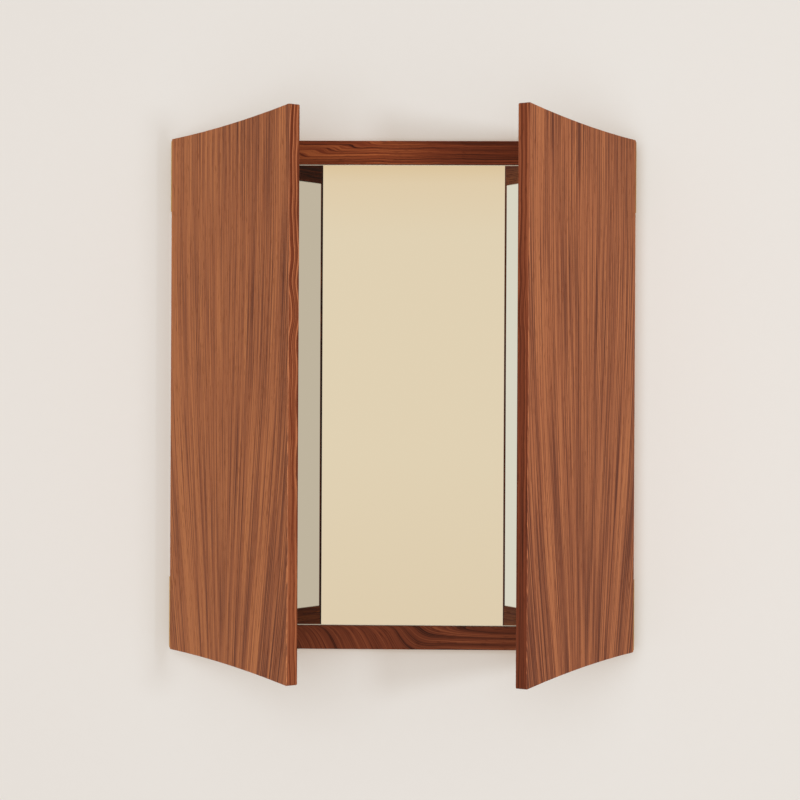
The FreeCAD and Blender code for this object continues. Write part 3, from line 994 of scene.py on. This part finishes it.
def metal_material(name, colour, roughness):
    """Brushed and slightly dulled metal."""
    material, tree, shader = new_material(name)
    marks = place_group(tree, brushed_metal, {"Place": object_place(tree)})
    dulled = remap(tree, marks["Dulling"], *METAL_DULL_SPREAD)
    shade = mix_colour(tree, dulled, colour, darker(colour, METAL_DULL_SHADE))
    link(tree, shade, shader, "Base Color")
    rough = weighted(tree, roughness, (marks["Brushing"], METAL_BRUSHING), (marks["Dulling"], METAL_DULLING))
    link(tree, rough, shader, "Roughness")
    set_plain(shader, {"Metallic": 1.0})
    bump(tree, shader, marks["Brushing"], METAL_RELIEF, METAL_BUMP)
    return material


def tape_material():
    """White foam tape."""
    white = settings().board.tape
    material, tree, shader = new_material("foam_tape")
    speckle = speckle_between(tree, shader, TAPE_RATE, TAPE_SPREAD, darker(white, TAPE_SHADE), white)
    set_plain(shader, {"Roughness": TAPE_ROUGHNESS})
    bump(tree, shader, speckle, TAPE_RELIEF, TAPE_BUMP)
    return material


def nodes_ending(*endings):
    return [name for name in NODES if name.endswith(endings)]


class WALLMIRROR_OT_brass_hinges(bpy.types.Operator):
    """Gives the hinge leaves, pins and hinge screws their brushed brass"""
    bl_idname = "wall_mirror.brass_hinges"
    bl_label = "Brass Hinges"

    def execute(self, context):
        brass = metal_material("brushed_brass", settings().metal.brass, BRASS_ROUGHNESS)
        dress(brass, nodes_ending("_leaf", "_pin", "_hinge_screws"))
        return {"FINISHED"}


class WALLMIRROR_OT_hidden_fittings(bpy.types.Operator):
    """Gives the hangers, board screws, strikes, magnets and tape their finishes"""
    bl_idname = "wall_mirror.hidden_fittings"
    bl_label = "Hidden Fittings"

    def execute(self, context):
        metal = settings().metal
        zinc = metal_material("zinc_plated_steel", metal.zinc, ZINC_ROUGHNESS)
        dress(zinc, nodes_ending("hanger_plate", "hanger_screws", "board_screws", "catch_strikes"))
        dress(metal_material("nickel_plate", metal.nickel, NICKEL_ROUGHNESS), ["catch_magnets"])
        dress(tape_material(), nodes_ending("_tape"))
        return {"FINISHED"}


# Boards and dowels

PALE_WAVE = ((7.0, 7.0, 1.6), 0.12)
PALE_PACE = (60.0, 140.0)
PALE_SEED = 11.0
PALE_GROUND = 0.4
PALE_WEIGHTS = {"Bands": 0.7, "Lines": 0.3, "Hair": 0.4}
PALE_STOPS = (0.2, 0.9)
PALE_ROUGHNESS = (0.2, 0.8, 0.55, 0.75)
PALE_RELIEF = 0.0001
PALE_BUMP = 0.3


def pale_wood_material(name, vector_of, axes, light, dark):
    """Bare pale wood: soft streaks along the grain and fine pores."""
    material, tree, shader = new_material(name)
    place = split(tree, vector_of(tree))
    grain = in_order(tree, place, axes)
    ring = calc(tree, "ADD", place[axes[0]], wave(tree, grain, *PALE_WAVE))
    figure = figured(tree, ring, grain, PALE_SEED, PALE_PACE)
    weights = ((figure[part], weight) for part, weight in PALE_WEIGHTS.items())
    tone = weighted(tree, PALE_GROUND, *weights)
    link(tree, ramp(tree, tone, tuple(zip(PALE_STOPS, (light, dark)))), shader, "Base Color")
    link(tree, remap(tree, figure["Hair"], *PALE_ROUGHNESS), shader, "Roughness")
    bump(tree, shader, figure["Hair"], PALE_RELIEF, PALE_BUMP)
    return material


class WALLMIRROR_OT_boards_and_dowels(bpy.types.Operator):
    """Gives the back board, the door cores and the dowels their bare wood"""
    bl_idname = "wall_mirror.boards_and_dowels"
    bl_label = "Boards and Dowels"

    def execute(self, context):
        board = settings().board
        birch = (board.birch_light, board.birch_dark)
        dress(pale_wood_material("birch_back_board", object_place, "XYZ", *birch), ["back_board"])
        for body in DOORS:
            core = pale_wood_material(body + "_birch_core", door_axes(body, "XYZ"), "XYZ", *birch)
            dress(core, [body + "_core"])
        dowel = pale_wood_material("beech_dowel", object_place, "ZYX", board.beech, board.birch_dark)
        dress(dowel, ["corner_dowels"])
        return {"FINISHED"}


# Stage

STAGE_REACH = 6.0
STAGE_RATE = 60.0
STAGE_SPREAD = (0.0, 1.0)
STAGE_SHADE = 0.985
STAGE_ROUGHNESS = 0.95
STAGE_GLOSS = 0.1

# The room goes from its left colour over its middle one to its right one at these places from left to right
ROOM_PLACES = (0.08, 0.40, 0.62, 0.95)
ROOM_CENTRE = (0.5, 0.2)

# Shades of the room straight ahead, from low to high
ROOM_SHADE_REACH = 0.5
ROOM_SHADES = (
    (0.38, (0.97, 0.95, 0.93, 1)), (0.47, WHITE), (0.580, WHITE),
    (0.606, (0.99, 0.95, 0.90, 1)), (0.614, (0.95, 0.87, 0.75, 1)), (0.9, WHITE),
)

# Name, setting of its power, place and width of each lamp
LAMPS = (
    ("key_lamp", "key_power", (1.85, -2.88, 0.10), 0.4),
    ("front_lamp", "front_power", (-0.55, -3.55, 0.10), 2.4),
    ("back_lamp", "back_power", (0.60, 3.00, 0.30), 2.0),
)


def one_sided_material(name, colour, shading):
    """A matt surface that shows from its front and lets the view through from behind. A share of each
    colour shows light and shadow, and the rest is plain."""
    material, tree, shader = new_material(name)
    matt = tuple(level * share for level, share in zip(colour[:3], shading)) + (1.0,)
    speckle_between(tree, shader, STAGE_RATE, STAGE_SPREAD, darker(matt, STAGE_SHADE), matt)
    set_plain(shader, {"Roughness": STAGE_ROUGHNESS, "Specular IOR Level": STAGE_GLOSS})
    rest = tuple(level - lit_level for level, lit_level in zip(colour[:3], matt)) + (1.0,)
    plain = put(tree, "ShaderNodeEmission", {"Color": rest})
    lit = put(tree, "ShaderNodeAddShader", {0: plain.outputs[0], 1: shader.outputs[0]})
    behind = tree.nodes.new("ShaderNodeNewGeometry").outputs["Backfacing"]
    clear = tree.nodes.new("ShaderNodeBsdfTransparent").outputs[0]
    mix = put(tree, "ShaderNodeMixShader", {0: behind, 1: lit.outputs[0], 2: clear})
    output = next(node for node in tree.nodes if node.type == "OUTPUT_MATERIAL")
    tree.links.new(mix.outputs[0], output.inputs["Surface"])
    return material


def add_plane(name, material, location, rotation):
    """A stage plane that only the camera sees, so that it blocks no light."""
    bpy.ops.object.select_all(action="DESELECT")
    bpy.ops.mesh.primitive_plane_add(size=2 * STAGE_REACH, location=location, rotation=rotation)
    plane = bpy.context.object
    plane.name = name
    plane.data.materials.append(material)
    plane.visible_diffuse = False
    plane.visible_glossy = False
    plane.visible_transmission = False
    plane.visible_shadow = False


def add_lamp(name, power, location, size):
    """A round soft lamp that points at the middle of the mirror and doesn't show in it."""
    light = bpy.data.lights.new(name, "AREA")
    light.shape = "DISK"
    light.size = size
    light.energy = power
    lamp = bpy.data.objects.new(name, light)
    bpy.context.scene.collection.objects.link(lamp)
    lamp.location = location
    lamp.rotation_euler = (-lamp.location).to_track_quat("-Z", "Y").to_euler()
    lamp.visible_glossy = False


def build_world(stage):
    """Light from all round, brighter from the front, and a pale room that camera and mirrors see."""
    world = bpy.data.worlds.new("pale_room")
    bpy.context.scene.world = world
    world.use_nodes = True
    tree = world.node_tree
    direction = split(tree, put(tree, "ShaderNodeTexCoord").outputs["Generated"])
    light = tree.nodes["Background"]
    light.inputs["Color"].default_value = WHITE
    ahead = calc(tree, "MAXIMUM", calc(tree, "MULTIPLY", direction["Y"], -1.0), 0.0)
    ahead = calc(tree, "POWER", ahead, 2.0)
    strength = calc(tree, "MULTIPLY_ADD", ahead, stage.ambient_front, stage.ambient)
    tree.links.new(strength, light.inputs["Strength"])
    across = calc(tree, "MULTIPLY_ADD", direction["X"], 0.5, 0.5)
    sides = (stage.room_left, stage.room, stage.room, stage.room_right)
    room = ramp(tree, across, tuple(zip(ROOM_PLACES, sides)))
    height = remap(tree, direction["Z"], -ROOM_SHADE_REACH, ROOM_SHADE_REACH)
    central = remap(tree, calc(tree, "ABSOLUTE", direction["X"]), *ROOM_CENTRE, smooth=True)
    room = mix_colour(tree, central, room, ramp(tree, height, ROOM_SHADES), "MULTIPLY")
    shown = put(tree, "ShaderNodeBackground", {"Color": room, "Strength": 1.0})
    path = tree.nodes.new("ShaderNodeLightPath").outputs
    seen = calc(tree, "ADD", path["Is Camera Ray"], path["Is Glossy Ray"])
    seen = calc(tree, "ADD", seen, path["Is Transmission Ray"])
    seen = calc(tree, "SUBTRACT", seen, path["Diffuse Depth"], clamp=True)
    mix = put(tree, "ShaderNodeMixShader", {0: seen, 1: light.outputs[0], 2: shown.outputs[0]})
    tree.links.new(mix.outputs[0], tree.nodes["World Output"].inputs["Surface"])


def add_camera(stage):
    """The camera at the photograph's place, which looks along Y with a small yaw, pitch and roll."""
    data = bpy.data.cameras.new("photo_camera")
    data.lens = stage.lens
    camera = bpy.data.objects.new("photo_camera", data)
    bpy.context.scene.collection.objects.link(camera)
    turn = Matrix.Rotation(stage.camera_yaw, 4, "Z")
    turn = turn @ Matrix.Rotation(math.pi / 2 + stage.camera_pitch, 4, "X")
    turn = turn @ Matrix.Rotation(stage.camera_roll, 4, "Z")
    camera.matrix_world = Matrix.Translation(stage.camera_place) @ turn
    bpy.context.scene.camera = camera


class WALLMIRROR_OT_stage(bpy.types.Operator):
    """Sets up the wall, floor, lamps, room light and camera"""
    bl_idname = "wall_mirror.stage"
    bl_label = "Stage"

    def execute(self, context):
        stage = settings().stage
        upright = (math.pi / 2, 0, 0)
        wall = one_sided_material("wall_paint", stage.wall, stage.wall_shading)
        add_plane("wall", wall, (0, stage.wall_gap, 0), upright)
        floor = one_sided_material("floor_paint", stage.floor, stage.floor_shading)
        add_plane("floor", floor, (0, stage.wall_gap - STAGE_REACH, -stage.floor_drop), (0, 0, 0))
        for name, power, location, size in LAMPS:
            add_lamp(name, getattr(stage, power), location, size)
        build_world(stage)
        add_camera(stage)
        context.scene.view_settings.view_transform = "Standard"
        context.scene.cycles.glossy_bounces = context.scene.cycles.max_bounces
        return {"FINISHED"}


# Panel and registration

OPERATORS = (
    WALLMIRROR_OT_face_veneers,
    WALLMIRROR_OT_solid_walnut,
    WALLMIRROR_OT_mirror_plates,
    WALLMIRROR_OT_brass_hinges,
    WALLMIRROR_OT_hidden_fittings,
    WALLMIRROR_OT_boards_and_dowels,
    WALLMIRROR_OT_stage,
)


class WALLMIRROR_PT_sidebar(bpy.types.Panel):
    """Lists the steps that finish the wall mirror"""
    bl_label = "Wall Mirror"
    bl_idname = "WALLMIRROR_PT_sidebar"
    bl_space_type = "VIEW_3D"
    bl_region_type = "UI"
    bl_category = "Wall Mirror"

    def draw(self, context):
        for operator in OPERATORS:
            self.layout.operator(operator.bl_idname)
        chosen = context.scene.wall_mirror
        for part in (chosen.walnut, chosen.glass, chosen.metal, chosen.board, chosen.stage):
            box = self.layout.box()
            for name in part.__annotations__:
                box.prop(part, name)


CLASSES = (
    WalnutFinish,
    GlassFinish,
    MetalFinish,
    BoardFinish,
    StageSetup,
    WallMirrorSettings,
    *OPERATORS,
    WALLMIRROR_PT_sidebar,
)


def register():
    for entry in CLASSES:
        bpy.utils.register_class(entry)
    bpy.types.Scene.wall_mirror = PointerProperty(type=WallMirrorSettings)


def unregister():
    del bpy.types.Scene.wall_mirror
    for entry in reversed(CLASSES):
        bpy.utils.unregister_class(entry)


def main():
    register()
    bpy.ops.wall_mirror.face_veneers()
    bpy.ops.wall_mirror.solid_walnut()
    bpy.ops.wall_mirror.mirror_plates()
    bpy.ops.wall_mirror.brass_hinges()
    bpy.ops.wall_mirror.hidden_fittings()
    bpy.ops.wall_mirror.boards_and_dowels()
    bpy.ops.wall_mirror.stage()


if __name__ == "__main__":
    main()
